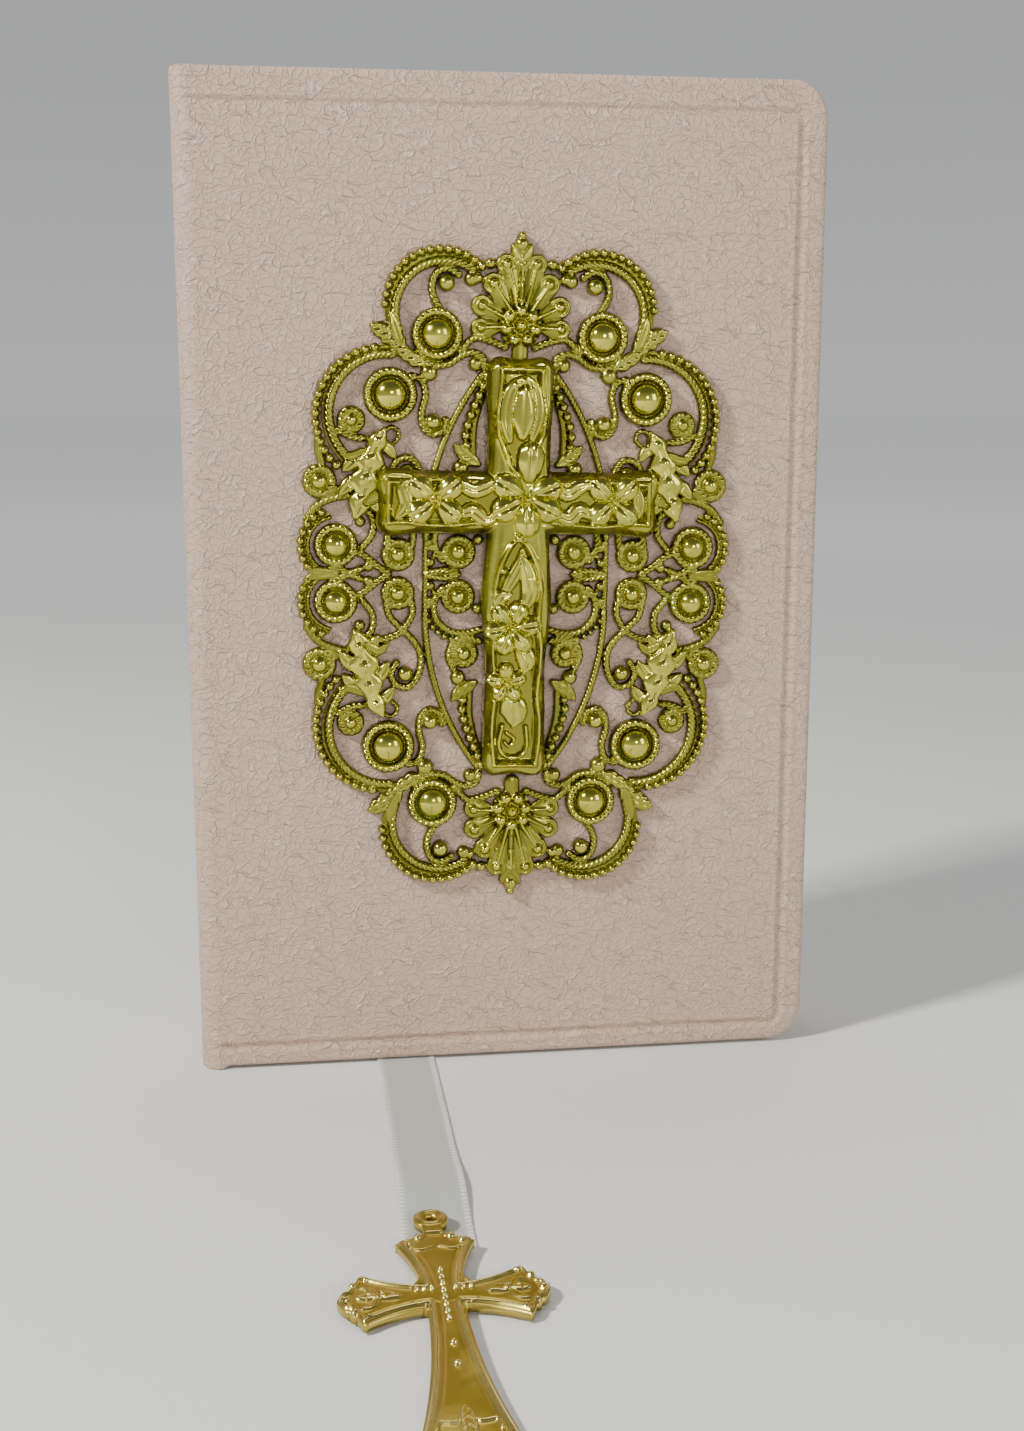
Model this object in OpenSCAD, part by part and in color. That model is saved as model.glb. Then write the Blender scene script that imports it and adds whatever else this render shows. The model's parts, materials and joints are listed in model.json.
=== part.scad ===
// A small devotional book: a limp leatherette case around sewn leaves, a stamped
// brass filigree with a domed cross on the front cover, and a ribbon marker that
// ends in a cross charm. Millimetres. X runs from the spine to the fore-edge,
// Y from the front cover to the back cover, and Z up. The book stands on Z = 0.

/* [Cover] */
// Width of the closed book, from the spine to the fore-edge
cover_w = 103; // [99:0.5:107]
// Height of the covers
cover_h = 160; // [155:0.5:165]
// Radius of the covers' fore-edge corners
corner_r = 6; // [4:0.5:8]
// Radius of the spine's two shoulders
shoulder_r = 3.2; // [2.8:0.1:3.4]
// Thickness of the leatherette
skin_t = 0.9; // [0.7:0.05:1]
// Thickness of a cover board
board_t = 1.2; // [1:0.05:1.4]
// Gap that the ribbon needs under the front cover
ribbon_pass = 0.5; // [0.5:0.05:0.8]

/* [Leaves] */
// Thickness of one sewn signature
signature_t = 1.9; // [1.5:0.1:2.3]
// How far the covers stand past the leaves
square_w = 3; // [2.5:0.1:3.5]
// Radius of the leaves' fore-edge corners
leaf_r = 4.5; // [3:0.5:6]

/* [Ribbon] */
// Width of the ribbon
ribbon_w = 9.5; // [8:0.5:10]
// Thickness of the ribbon
ribbon_t = 0.34; // [0.3:0.02:0.36]

/* [Filigree] */
// Height of the filigree's centre above the base
filigree_z = 82.5; // [80:0.5:85]
// Distance of the filigree's centre from the middle of the book
filigree_x = 1.2; // [-2:0.2:4]
// Tilt of the filigree, clockwise as seen from the front
filigree_tilt = 1.1; // [0:0.1:2]
// Thickness of the filigree's sheet
filigree_t = 0.9; // [0.7:0.1:1.1]
// Height of the domed cross over the front cover
cross_h = 5.6; // [5:0.1:6]

/* [Charm] */
// Thickness of the charm
charm_t = 1.6; // [1.2:0.1:2]
// Half of the charm's width, from its centre to the tip of a side arm
charm_arm = 13.3; // [12:0.1:14]
// Length of the charm's lower arm, from its centre
charm_foot = 33.3; // [31:0.1:35]

/* [Hidden] */

pastedown_t = 0.25;
flyleaf_t = 0.2;
leaf_gap = 0.05;
ribbon_slot = 0.3;
signatures = 6;
front_signatures = 3;
spine_d = 3.4;
hinge_gap = 0.3;
eps = 0.01;

// Depths behind the front face of the closed book.
cover_t = skin_t + board_t + pastedown_t;
front_fly_v = cover_t + leaf_gap;
block_v = front_fly_v + flyleaf_t + leaf_gap;
function signature_v(i) =
    block_v + i * (signature_t + leaf_gap) + (i >= front_signatures ? ribbon_slot : 0);
back_fly_v = signature_v(signatures);
book_t = back_fly_v + flyleaf_t + leaf_gap + cover_t;
ribbon_v = signature_v(front_signatures) - leaf_gap - ribbon_slot / 2;

// The origin is under the middle of the box of the book and its cross.
front_y = (cross_h - book_t) / 2;
back_y = front_y + book_t;
left_x = -cover_w / 2;
right_x = cover_w / 2;
hinge_x = left_x + spine_d;
leaf_x0 = hinge_x + leaf_gap;
leaf_x1 = right_x - square_w;
leaf_z0 = square_w;
leaf_z1 = cover_h - square_w;

// ---------------------------------------------------------------- helpers

// A rectangle whose two right-hand corners are round.
module outline(x0, x1, y0, y1, r) {
    translate([x0, y0]) square([x1 - x0 - r, y1 - y0]);
    translate([x1 - r - eps, y0 + r]) square([r + eps, y1 - y0 - 2 * r]);
    for (y = [y0 + r, y1 - r])
        translate([x1 - r, y]) circle(r, $fn = 64);
}

// Stands a flat shape up, so that it runs from depth v0 to v1 behind the front face.
module stand(v0, v1) {
    translate([0, front_y + v1, 0]) rotate([90, 0, 0]) linear_extrude(v1 - v0) children();
}

module sheet(v0, v1, x0, x1, z0, z1, r) {
    stand(v0, v1) outline(x0, x1, z0, z1, r);
}

// A cover's leatherette, turned over the edges of the board that lies in its pocket.
module cover_skin(v0, pocket_v0, pocket_v1, z0) {
    x0 = hinge_x + hinge_gap;
    difference() {
        sheet(v0, v0 + skin_t + board_t, x0, right_x, z0, cover_h, corner_r);
        sheet(pocket_v0, pocket_v1, x0 + skin_t, right_x - skin_t,
              z0 + skin_t, cover_h - skin_t, corner_r - skin_t);
    }
}

module cover_board(v0, z0) {
    sheet(v0, v0 + board_t, hinge_x + hinge_gap + skin_t, right_x - skin_t,
          z0 + skin_t, cover_h - skin_t, corner_r - skin_t);
}

module signature(i) {
    v = signature_v(i);
    sheet(v, v + signature_t, leaf_x0, leaf_x1, leaf_z0, leaf_z1, leaf_r);
}

// The section of the spine's leatherette: flat back, round shoulders.
module spine_outline(inset) {
    intersection() {
        mirror([1, 0])
            outline(-hinge_x - 9, -left_x - inset, front_y + inset, back_y - inset,
                    shoulder_r - inset);
        translate([left_x - 1, front_y - 1]) square([spine_d + 1 + inset, book_t + 2]);
    }
}

// ----------------------------------------------------------------- covers

module front_cover_skin() {
    color("mistyrose") cover_skin(0, skin_t, cover_t + 1, ribbon_pass);
}

module front_board() {
    color("burlywood") cover_board(skin_t, ribbon_pass);
}

module front_pastedown() {
    color("ivory")
        sheet(skin_t + board_t, cover_t, hinge_x + 1, right_x - 2.5,
              ribbon_pass + 2.5, cover_h - 2.5, leaf_r);
}

module back_cover_skin() {
    color("mistyrose")
        cover_skin(book_t - skin_t - board_t, book_t - cover_t - 1, book_t - skin_t, 0);
}

module back_board() {
    color("burlywood") cover_board(book_t - skin_t - board_t, 0);
}

module back_pastedown() {
    color("ivory")
        sheet(book_t - cover_t, book_t - skin_t - board_t, hinge_x + 1, right_x - 2.5,
              2.5, cover_h - 2.5, leaf_r);
}

// ------------------------------------------------------------------ spine

module spine_skin() {
    color("mistyrose")
        difference() {
            linear_extrude(cover_h) spine_outline(0);
            translate([0, 0, -1]) linear_extrude(cover_h + 2) spine_outline(skin_t);
        }
}

module spine_inlay() {
    color("tan")
        translate([left_x + skin_t, front_y + shoulder_r, 1])
            cube([0.6, book_t - 2 * shoulder_r, cover_h - 2]);
}

module mull() {
    color("whitesmoke")
        translate([hinge_x - 0.65, front_y + block_v, leaf_z0 + 6])
            cube([0.3, back_fly_v - leaf_gap - block_v, leaf_z1 - leaf_z0 - 12]);
}

module spine_liner() {
    color("peru")
        translate([hinge_x - 0.95, front_y + block_v, leaf_z0 + 1])
            cube([0.3, back_fly_v - leaf_gap - block_v, leaf_z1 - leaf_z0 - 2]);
}

// Stitches that run across the folds of all the signatures.
module sewing_thread() {
    thread_r = 0.14;
    stitches = 6;
    for (i = [0 : stitches - 1])
        color("linen")
            translate([hinge_x - 0.18, front_y + block_v,
                       leaf_z0 + 14 + i * (leaf_z1 - leaf_z0 - 28) / (stitches - 1)])
                rotate([-90, 0, 0])
                    cylinder(r = thread_r, h = back_fly_v - leaf_gap - block_v, $fn = 24);
}

// A rolled cloth bead on the ends of the folds, with a tape glued to the spine.
module end_band(z_bead, z_tape) {
    bead_r = 0.7;
    tape_l = 5;
    wide = back_fly_v - leaf_gap - block_v;
    translate([hinge_x + 0.4, front_y + block_v, z_bead])
        rotate([-90, 0, 0]) cylinder(r = bead_r, h = wide, $fn = 48);
    translate([hinge_x - 0.33, front_y + block_v, min(z_bead, z_tape)])
        cube([0.3, wide, tape_l]);
}

module head_band() {
    color("gold") end_band(leaf_z1 + 0.75, leaf_z1 - 4.25);
}

module tail_band() {
    color("gold") end_band(leaf_z0 - 0.75, leaf_z0 - 0.75);
}

// ----------------------------------------------------------------- leaves

module front_flyleaf() {
    color("ivory")
        sheet(front_fly_v, front_fly_v + flyleaf_t, leaf_x0, leaf_x1, leaf_z0, leaf_z1, leaf_r);
}

module back_flyleaf() {
    color("ivory")
        sheet(back_fly_v, back_fly_v + flyleaf_t, leaf_x0, leaf_x1, leaf_z0, leaf_z1, leaf_r);
}

module signature_1() { color("cornsilk") signature(0); }
module signature_2() { color("beige") signature(1); }
module signature_3() { color("cornsilk") signature(2); }
module signature_4() { color("beige") signature(3); }
module signature_5() { color("cornsilk") signature(4); }
module signature_6() { color("beige") signature(5); }

// --------------------------------------------------------------- filigree

// Puts flat shapes on the front cover, centred on the filigree. Depth runs outwards.
module on_cover(t0, t1) {
    translate([filigree_x, front_y - t0, filigree_z]) rotate([90, filigree_tilt, 0])
        linear_extrude(t1 - t0) children();
}

module four_ways() {
    for (sx = [0, 1], sy = [0, 1])
        mirror([sx, 0]) mirror([0, sy]) children();
}

module band(x, y, r, w) {
    translate([x, y])
        difference() {
            circle(r + w / 2, $fn = 48);
            circle(r - w / 2, $fn = 48);
        }
}

// A stretch of a ring, from angle a0 to a1.
module arc(x, y, r, w, a0, a1) {
    translate([x, y])
        intersection() {
            difference() {
                circle(r + w / 2, $fn = 64);
                circle(r - w / 2, $fn = 64);
            }
            polygon([[0, 0], for (a = [a0 : (a1 - a0) / 4 : a1]) 2 * r * [cos(a), sin(a)]]);
        }
}

// The bosses of one quarter: x, y, radius of the ring around it, radius of its dome.
bosses = [
    [29, 4.5, 3, 1.8], [31.8, 14.4, 2.2, 1.2], [26.6, 24, 1.6, 1.5],
    [20.5, 28.2, 3.9, 2.5], [13.2, 37.7, 3.5, 2.2], [12.4, 45.3, 1.9, 1.2],
    [19.1, 3, 2.1, 1.3], [9.4, 3.6, 2.2, 1.3], [8, 13, 1.9, 1.2],
    [17.3, 16.3, 2.2, 1.3], [13.8, 24, 1.5, 1.3], [14.6, 32, 1.5, 1.3]
];

// The strips that tie the bosses, the leaves and the rim together: x, y, angle, length, width.
ties = [
    [25.6, 12, 0, 6, 1.6], [16.5, 9.6, 64, 9, 1.4], [9.4, 8.4, 90, 7, 1.4],
    [16, 19.5, -50, 6, 1.4], [24.2, 9.5, 90, 10, 1.4], [25, 4.2, 0, 9, 1.4],
    [16.5, 3, 0, 14, 1.4], [4.8, 33.6, 0, 7, 1.6], [9.6, 34.8, 35, 5, 1.6],
    [10.8, 27.8, 60, 8, 1.4], [6, 46.6, 0, 8, 1.6], [20.5, 33.2, 90, 2.4, 2],
    [17, 33, -52, 5, 2], [29.6, 15.8, -30, 4, 1.8], [31.7, 10.8, 90, 2.8, 1.8],
    [29.2, 24, 0, 2.8, 1.6], [12.4, 48.2, 90, 1.8, 1.6], [12.8, 42.3, 90, 2.2, 1.6],
    [22.3, 23, 90, 2.6, 1.6], [18.6, 35.6, 0, 3.4, 1.8], [7, 39, 0, 6.4, 1.8]
];

module filigree_outline() {
    four_ways() {
        for (b = bosses)
            translate([b[0], b[1]]) circle(b[2] + 0.5, $fn = 32);
        for (t = ties)
            translate([t[0], t[1]]) rotate(t[2]) square([t[3], t[4]], center = true);
        arc(21.4, 25, 10.4, 3, -52, 92);
        arc(12.4, 41.5, 8.6, 2.8, -25, 112);
        arc(29, 4.5, 5.4, 2, -60, 62);
        translate([23.2, 38]) circle(2.2, $fn = 32);
        translate([22.8, 16.4]) rotate(8) square([4.4, 12], center = true);
        translate([14, -0.5]) square([1.5, 8]);
        arc(-27.3, 6, 42, 1.5, 0, 38);
        for (a = [25 : 26 : 77])
            translate([0, 40]) rotate(a) translate([3.6, 0]) square([7, 2.6], center = true);
        translate([0, 40]) circle(4.6, $fn = 32);
        translate([0, 48]) circle(2.6, $fn = 32);
        translate([0, 51.8]) circle(1.7, $fn = 32);
    }
}

// Whether a round shape on the filigree stays clear of the domed cross.
function clear_of_cross(x, y, r) =
    (abs(x) > 6 + r || abs(y - 0.6) > 34.2 + r)
    && (abs(x) > 23 + r || abs(y - 11.5) > 5.7 + r);

// The domes of the larger bosses stand on the sheet, with a rim sunk into it.
module boss_domes() {
    sunk = 0.1;
    for (sx = [-1, 1], sy = [-1, 1], b = bosses)
        if (clear_of_cross(sx * b[0], sy * b[1], b[3]))
            translate([sx * b[0], sy * b[1], 0.3 + filigree_t - sunk])
                rotate_extrude($fn = 32)
                    intersection() {
                        circle(b[3], $fn = 32);
                        square(b[3]);
                    }
}

module oval_filigree() {
    color("darkkhaki")
        union() {
            on_cover(0.3, 0.3 + filigree_t) filigree_outline();
            translate([filigree_x, front_y, filigree_z]) rotate([90, filigree_tilt, 0])
                boss_domes();
        }
}

// The cross's two bars, whose ends are a little wider than their middles.
module bar_outline(length, w_end, w_waist, end_r) {
    half = length / 2;
    union() {
        square([length - 2 * end_r, w_waist], center = true);
        for (s = [-1, 1])
            translate([s * (half - w_end / 2 + 0.01), 0]) {
                square([w_end - 2 * end_r, w_end], center = true);
                square([w_end, w_end - 2 * end_r], center = true);
                for (x = [-1, 1], y = [-1, 1])
                    translate([x, y] * (w_end / 2 - end_r)) circle(end_r, $fn = 32);
            }
    }
}

module filigree_cross() {
    cross_z = 11.5;
    tall = 67.4;
    wide = 45.4;
    // Half of the vertical bar's height lies this far above the filigree's centre.
    middle_z = 0.6;
    layers = [[0, 1.4, 0], [1.4, 2.6, 0.7], [2.6, cross_h - 1.2, 1.6]];
    color("khaki")
        for (l = layers)
            on_cover(0.3 + filigree_t + l[0], 0.3 + filigree_t + l[1])
                union() {
                    translate([0, middle_z]) rotate(90)
                        bar_outline(tall - 2 * l[2], 11 - 2 * l[2], 9.6 - 2 * l[2], 1.4);
                    translate([0, cross_z])
                        bar_outline(wide - 2 * l[2], 10.8 - 2 * l[2], 9.6 - 2 * l[2], 1.4);
                }
}

// Spots of glue between the cover and the back of the filigree.
module filigree_adhesive() {
    color("lightyellow")
        on_cover(0, 0.3)
            four_ways() {
                translate([20.5, 28.2]) circle(2.4, $fn = 32);
                translate([29, 4.5]) circle(1.8, $fn = 32);
                translate([0, 40]) circle(2.4, $fn = 32);
            }
}

// ----------------------------------------------------------------- ribbon

ribbon_x = -17.5;
ribbon_y = front_y + ribbon_v;

// The marker inside the book, from the head of the spine down to the tail edge.
module ribbon_inside() {
    half_t = 0.1;
    color("lavenderblush")
        stand(ribbon_v - half_t, ribbon_v + half_t)
            polygon([[leaf_x0 + 0.2, leaf_z1], [leaf_x0 + 0.2 + ribbon_w, leaf_z1],
                     [ribbon_x + ribbon_w / 2, leaf_z0], [ribbon_x - ribbon_w / 2, leaf_z0]]);
}

// The free ribbon's centreline, from the tail edge of the leaves to under the charm.
ribbon_route = [
    [-17.5, ribbon_y, 3], [-17.5, ribbon_y - 0.3, 1.7], [-17.5, ribbon_y - 1.1, 0.75],
    [-17.5, ribbon_y - 2.3, 0.3], [-17.5, ribbon_y - 4, 0.22], [-17.5, ribbon_y - 7, 0.22],
    [-17.5, -8, 0.22], [-17.5, -12, 0.22], [-17.5, -18, 0.22], [-17.5, -25, 0.22],
    [-17.5, -32, 0.22], [-17.5, -38, 0.22], [-17.5, -42, 0.25], [-17.5, -46, 0.4],
    [-17.5, -50, 0.7], [-17.5, -54, 0.85], [-17.6, -58, 0.7], [-17.7, -62, 0.4],
    [-17.8, -66, 0.22], [-17.9, -71.8, 0.22]
];

function along(route, i) =
    let (a = route[max(i - 1, 0)], b = route[min(i + 1, len(route) - 1)]) (b - a) / norm(b - a);

// The ribbon's flat section at one point of the route: its width lies along X.
function ribbon_ring(route, i) =
    let (t = along(route, i),
         side = [1, 0, 0],
         up = cross(side, t),
         w = ribbon_w / 2,
         h = ribbon_t / 2)
    [for (p = [[-1, -0.4], [-0.96, -1], [0.96, -1], [1, -0.4],
               [1, 0.4], [0.96, 1], [-0.96, 1], [-1, 0.4]])
        route[i] + p[0] * w * side - p[1] * h * up];

module sweep_ribbon(route) {
    n = len(route);
    sides = 8;
    points = [for (i = [0 : n - 1]) each ribbon_ring(route, i)];
    walls = [for (i = [0 : n - 2], k = [0 : sides - 1])
        let (a = i * sides + k, b = i * sides + (k + 1) % sides)
        each [[a, b, b + sides], [a, b + sides, a + sides]]];
    first = [for (k = [sides - 1 : -1 : 0]) k];
    last = [for (k = [0 : sides - 1]) (n - 1) * sides + k];
    polyhedron(points, concat([first], walls, [last]));
}

module ribbon_marker() {
    color("lavenderblush") sweep_ribbon(ribbon_route);
}

// ------------------------------------------------------------------ charm

charm_x = -18.8;
charm_y = -86.1;
// How far the ribbon under it lifts the charm's head.
charm_lift = 0.8;
charm_tilt = atan(charm_lift / (charm_foot + 14));
charm_ring_y = 19.6;

// One flared arm along +X, from the centre to its pointed end.
module charm_arm_outline(length, root, flare) {
    point_l = 4.6;
    neck = 2;
    body_l = length - point_l;
    steps = 10;
    rise = [for (i = [0 : steps])
        let (s = i / steps) [neck + s * (body_l - neck), root + (flare - root) * s * s]];
    edge = concat([[0, root]], rise, [[body_l + 2, flare * 0.62], [length, 0]]);
    polygon(concat(edge, [for (i = [len(edge) - 2 : -1 : 0]) [edge[i][0], -edge[i][1]]]));
}

module charm_outline() {
    for (a = [0, 180])
        rotate(a) charm_arm_outline(charm_arm, 2.5, 5.4);
    rotate(90) charm_arm_outline(16, 2.6, 4.9);
    rotate(-90) charm_arm_outline(charm_foot, 2.3, 5.5);
    circle(3.4, $fn = 48);
}

// The ring at the charm's head and the neck that it stands on.
module charm_ring_outline() {
    translate([0, charm_ring_y]) circle(2.3, $fn = 48);
    translate([0, charm_ring_y - 4]) square([2.6, 6], center = true);
}

// Lays flat shapes down as the charm lies: its foot on the surface, its head on the ribbon.
module charm_place() {
    translate([charm_x, charm_y - charm_foot, 0]) rotate([charm_tilt, 0, 0])
        translate([0, charm_foot, 0]) children();
}

module charm_cross() {
    ring_hole_r = 0.9;
    ring_inset = 0.05;
    color("goldenrod")
        charm_place()
            difference() {
                union() {
                    linear_extrude(charm_t) charm_outline();
                    translate([0, 0, ring_inset])
                        linear_extrude(charm_t - 2 * ring_inset) charm_ring_outline();
                }
                translate([0, charm_ring_y, -1]) cylinder(r = ring_hole_r, h = charm_t + 2, $fn = 48);
            }
}

// Glue between the end of the ribbon and the back of the charm.
module charm_adhesive() {
    ribbon_end = ribbon_route[len(ribbon_route) - 1];
    color("lightyellow")
        translate(ribbon_end + [0, 3.4, ribbon_t / 2]) cylinder(r = 1.6, h = 0.34, $fn = 32);
}

// ---------------------------------------------------------------- drawing

front_cover_skin();
front_board();
front_pastedown();
back_cover_skin();
back_board();
back_pastedown();
spine_skin();
spine_inlay();
spine_liner();
mull();
sewing_thread();
head_band();
tail_band();
front_flyleaf();
back_flyleaf();
signature_1();
signature_2();
signature_3();
signature_4();
signature_5();
signature_6();
oval_filigree();
filigree_cross();
filigree_adhesive();
ribbon_inside();
ribbon_marker();
charm_cross();
charm_adhesive();
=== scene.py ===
"""The looks of a small prayer book: leatherette case, sewn leaves, stamped brass cover
ornament, satin ribbon marker and cross charm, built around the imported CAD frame."""
import json
import math

import bmesh
import bpy
import numpy as np
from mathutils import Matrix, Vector, noise


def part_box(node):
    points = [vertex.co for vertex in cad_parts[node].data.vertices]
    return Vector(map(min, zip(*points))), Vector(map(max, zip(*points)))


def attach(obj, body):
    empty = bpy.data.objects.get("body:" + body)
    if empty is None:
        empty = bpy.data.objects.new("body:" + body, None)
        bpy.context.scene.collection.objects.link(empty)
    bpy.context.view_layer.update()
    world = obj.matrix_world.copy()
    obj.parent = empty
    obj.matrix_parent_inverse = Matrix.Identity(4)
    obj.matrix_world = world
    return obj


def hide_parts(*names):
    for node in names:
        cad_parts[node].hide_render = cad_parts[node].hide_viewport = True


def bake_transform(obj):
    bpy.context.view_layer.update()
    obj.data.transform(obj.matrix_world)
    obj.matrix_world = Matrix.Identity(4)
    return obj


MM = 0.001
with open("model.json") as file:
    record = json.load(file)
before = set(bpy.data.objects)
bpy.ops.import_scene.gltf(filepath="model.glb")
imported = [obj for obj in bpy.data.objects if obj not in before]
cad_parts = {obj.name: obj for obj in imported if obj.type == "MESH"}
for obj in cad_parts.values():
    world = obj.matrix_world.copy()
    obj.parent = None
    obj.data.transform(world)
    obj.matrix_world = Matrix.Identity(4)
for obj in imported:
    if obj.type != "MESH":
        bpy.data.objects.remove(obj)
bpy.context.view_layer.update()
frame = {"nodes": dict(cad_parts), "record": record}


# ---- sizes read from the frame, in mm

def box_mm(node):
    """A CAD node's lowest and highest corner, in millimetres."""
    low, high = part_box(node)
    return np.array(low) / MM, np.array(high) / MM


SPINE_LOW, SPINE_HIGH = box_mm("spine_skin")
COVER_LOW, COVER_HIGH = box_mm("front_cover_skin")
LEAF_LOW, LEAF_HIGH = box_mm("signature_1")
LEFT_X, RIGHT_X = SPINE_LOW[0], COVER_HIGH[0]
FRONT_Y, BACK_Y = SPINE_LOW[1], SPINE_HIGH[1]
BOOK_T = BACK_Y - FRONT_Y
COVER_H = SPINE_HIGH[2]
FRONT_COVER_Z0 = COVER_LOW[2]
HINGE_X = LEAF_LOW[0] - 0.05
SHOULDER_R = 3.2
SHEET_T = 0.9
COVER_T = COVER_HIGH[1] - COVER_LOW[1] + 0.04
CORNER_R = 6
ORNAMENT_X, ORNAMENT_Z, ORNAMENT_TILT = 1.2, 82.5, 1.1
BLEND_END_X = HINGE_X + 20
BAND_THREADS = 36  # turns of thread round an end band, per centimetre
FLOOR_GLOW = 0.4  # the light the floor gives off, far from the book
GAUZE_PITCH = 0.0009  # from thread to thread of the mull, in metres


# ---- mesh helpers

def make_object(name, points, faces, mesh_uv=None, smooth=True, closed=True):
    """A mesh object from points in millimetres. mesh_uv gives one (u, v) in cm for each point."""
    mesh = bpy.data.meshes.new(name)
    mesh.from_pydata((np.asarray(points) * MM).tolist(), [], faces)
    if mesh_uv is not None:
        layer = mesh.uv_layers.new(name="rest")
        loops = np.zeros(len(mesh.loops), np.int32)
        mesh.loops.foreach_get("vertex_index", loops)
        layer.data.foreach_set("uv", np.asarray(mesh_uv, np.float32)[loops].ravel())
    mesh.polygons.foreach_set("use_smooth", [smooth] * len(mesh.polygons))
    if closed:
        work = bmesh.new()
        work.from_mesh(mesh)
        bmesh.ops.recalc_face_normals(work, faces=work.faces)
        work.to_mesh(mesh)
        work.free()
    piece = bpy.data.objects.new(name, mesh)
    bpy.context.scene.collection.objects.link(piece)
    return piece


def flat_bar(name, x, front, back, bottom, top, map_axis):
    """A closed bar along X with four sharp edges. Its map is x and one more axis."""
    edges = [(front, bottom), (front, top), (back, top), (back, bottom)]
    points = np.stack([rows_of(x, y, z) for y, z in edges], 1).reshape(-1, 3)
    return make_object(name, points, ring_faces(len(x), 4), points[:, [0, map_axis]] / 10, smooth=False)


def grid_quads(index):
    """The quads between neighbours in a grid of point numbers."""
    corners = [index[:-1, :-1], index[:-1, 1:], index[1:, 1:], index[1:, :-1]]
    return np.stack(corners, -1).reshape(-1, 4).tolist()


def ring_faces(rings, sides):
    """Faces that join rings of points, sides to a ring, and close both ends."""
    index = np.arange(rings * sides).reshape(rings, sides)
    walls = grid_quads(np.column_stack([index, index[:, 0]]))
    return walls + [index[0].tolist(), index[-1].tolist()]


def rows_of(*columns):
    """Rows of coordinates from columns that broadcast together."""
    return np.stack(np.broadcast_arrays(*columns), -1)


def smooth_step(value, start, end):
    t = np.clip((value - start) / (end - start), 0, 1)
    return t * t * (3 - 2 * t)


def dome(reach):
    """The height of a unit half circle at reach from its middle, and 0 past it."""
    return np.sqrt(np.clip(1 - reach ** 2, 0, 1))


def hump(at, middle, reach):
    """A smooth rise to 1 at middle."""
    return np.exp(-((at - middle) / reach) ** 2)


def inside_corner(a, b, radius):
    """The distance in from a rounded corner, a and b being the distances past its centre."""
    return radius - np.hypot(np.maximum(a, 0), np.maximum(b, 0)) - np.minimum(np.maximum(a, b), 0)


def run_along(line):
    """The distance of each point of a line from its start."""
    return np.concatenate([[0], np.cumsum(np.linalg.norm(np.diff(line, axis=0), axis=1))])


def curve_through(points, spacing):
    """Points a given distance apart along a Catmull-Rom curve through points."""
    p = np.asarray(points, float)
    p = np.vstack([2 * p[0] - p[1], p, 2 * p[-1] - p[-2]])
    out = []
    for a, b, c, d in zip(p[:-3], p[1:-2], p[2:-1], p[3:]):
        steps = max(2, int(np.linalg.norm(c - b) / spacing))
        t = (np.arange(steps) / steps)[:, None]
        out.append(0.5 * (2 * b + (c - a) * t + (2 * a - 5 * b + 4 * c - d) * t ** 2
                          + (3 * b - a - 3 * c + d) * t ** 3))
    return np.vstack(out + [p[-2]])


# ---- materials

class Shader:
    """A node material with a few short ways to add and join nodes."""

    def __init__(self, name):
        self.material = bpy.data.materials.new(name)
        self.material.use_nodes = True
        self.tree = self.material.node_tree
        self.bsdf = self.tree.nodes["Principled BSDF"]

    def node(self, kind, settings=None, **inputs):
        made = self.tree.nodes.new("ShaderNode" + kind)
        for key, value in (settings or {}).items():
            setattr(made, key, value)
        for key, value in inputs.items():
            self.put(made.inputs[key.replace("_", " ")], value)
        return made

    def put(self, socket, value):
        if isinstance(value, bpy.types.NodeSocket):
            self.tree.links.new(value, socket)
        else:
            socket.default_value = value

    def finish(self, **inputs):
        """Sets the surface's inputs and gives the material."""
        for key, value in inputs.items():
            self.put(self.bsdf.inputs[key.replace("_", " ")], value)
        return self.material

    def uv(self):
        return self.node("UVMap", {"uv_map": "rest"}).outputs["UV"]

    def place(self):
        return self.node("TexCoord").outputs["Object"]

    def noise(self, vector, scale, detail=3, roughness=0.55, output="Fac"):
        return self.node("TexNoise", Vector=vector, Scale=scale, Detail=detail,
                         Roughness=roughness).outputs[output]

    def stretch(self, vector, scale):
        return self.node("Mapping", Vector=vector, Scale=scale).outputs["Vector"]

    def axis(self, vector, name):
        return self.node("SeparateXYZ", Vector=vector).outputs[name]

    def math(self, operation, *values, kind="Math"):
        made = self.node(kind, {"operation": operation})
        for socket, value in zip(made.inputs, values):
            self.put(socket, value)
        return made.outputs[0]

    def times(self, a, b):
        return self.math("MULTIPLY", a, b)

    def plus(self, a, b):
        return self.math("ADD", a, b)

    def wave(self, value, turns):
        """A sine with so many turns to each unit of value."""
        return self.math("SINE", self.times(value, 2 * math.pi * turns))

    def range(self, value, low, high, to_low=0.0, to_high=1.0):
        return self.node("MapRange", {"interpolation_type": "SMOOTHSTEP"}, Value=value, From_Min=low,
                         From_Max=high, To_Min=to_low, To_Max=to_high).outputs["Result"]

    def mix(self, share, a, b):
        made = self.node("Mix", {"data_type": "RGBA"})
        self.put(made.inputs[0], share)
        self.put(made.inputs[6], a)
        self.put(made.inputs[7], b)
        return made.outputs[2]

    def bump(self, height, distance, strength=1.0, normal=None):
        made = self.node("Bump", Height=height, Distance=distance, Strength=strength)
        if normal is not None:
            self.put(made.inputs["Normal"], normal)
        return made.outputs["Normal"]


def rgb(red, green, blue):
    """A colour given as sRGB values from 0 to 255."""
    def linear(c):
        c /= 255
        return c / 12.92 if c < 0.04045 else ((c + 0.055) / 1.055) ** 2.4
    return (linear(red), linear(green), linear(blue), 1)


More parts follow.
